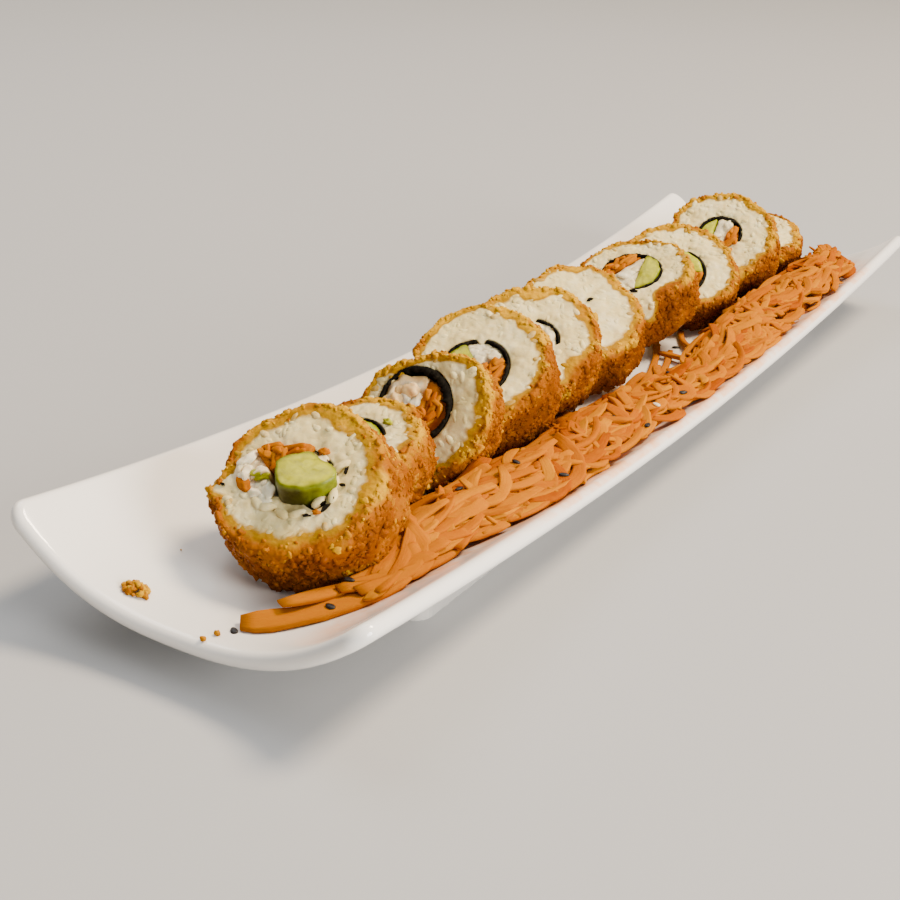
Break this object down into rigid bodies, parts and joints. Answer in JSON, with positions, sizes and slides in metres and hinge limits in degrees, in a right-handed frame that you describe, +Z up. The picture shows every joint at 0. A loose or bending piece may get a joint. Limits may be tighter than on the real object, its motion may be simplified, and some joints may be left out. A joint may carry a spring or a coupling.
{
  "type": "fried sushi roll on a plate",
  "caption": "Crumbed and fried sushi roll cut into slices that lean in a row, with a bank of carrot shreds, on a long curved porcelain plate.",
  "frame": {"origin": "middle of the plate's footprint, on the surface that it stands on", "axes": "+Z up; +Y along the plate, from the slice at the bare end to the far end; +X towards the side where the carrot lies"},
  "size_m": [0.1152, 0.4302, 0.0558],
  "materials": {
    "plate": "glossy warm white porcelain glaze",
    "rice": "cream rice, with golden fried crumbs on the outside",
    "nori": "black seaweed, slightly glossy",
    "avocado": "soft, light green to yellow",
    "carrot": "moist bright orange, with paler shreds",
    "shrimp": "moist, white with orange",
    "fish": "moist, off-white",
    "cheese": "soft, white"
  },
  "bodies": {
    "root": {"plate": "plate", "carrot_shreds": "carrot", "slice_1_avocado": "avocado", "slice_1_carrot": "carrot", "slice_1_cheese": "cheese", "slice_1_fish": "fish", "slice_1_nori": "nori", "slice_1_rice": "rice", "slice_1_shrimp": "shrimp", "slice_2_avocado": "avocado", "slice_2_fish": "fish", "slice_2_nori": "nori", "slice_2_rice": "rice", "slice_3_carrot": "carrot", "slice_3_nori": "nori", "slice_3_rice": "rice", "slice_3_shrimp": "shrimp", "slice_4_avocado": "avocado", "slice_4_carrot": "carrot", "slice_4_fish": "fish", "slice_4_nori": "nori", "slice_4_rice": "rice", "slice_5_avocado": "avocado", "slice_5_fish": "fish", "slice_5_nori": "nori", "slice_5_rice": "rice", "slice_6_avocado": "avocado", "slice_6_fish": "fish", "slice_6_nori": "nori", "slice_6_rice": "rice", "slice_7_avocado": "avocado", "slice_7_carrot": "carrot", "slice_7_fish": "fish", "slice_7_nori": "nori", "slice_7_rice": "rice", "slice_8_avocado": "avocado", "slice_8_carrot": "carrot", "slice_8_fish": "fish", "slice_8_nori": "nori", "slice_8_rice": "rice", "slice_9_avocado": "avocado", "slice_9_carrot": "carrot", "slice_9_fish": "fish", "slice_9_nori": "nori", "slice_9_rice": "rice", "slice_10_avocado": "avocado", "slice_10_carrot": "carrot", "slice_10_fish": "fish", "slice_10_nori": "nori", "slice_10_rice": "rice"}
  },
  "joints": []
}
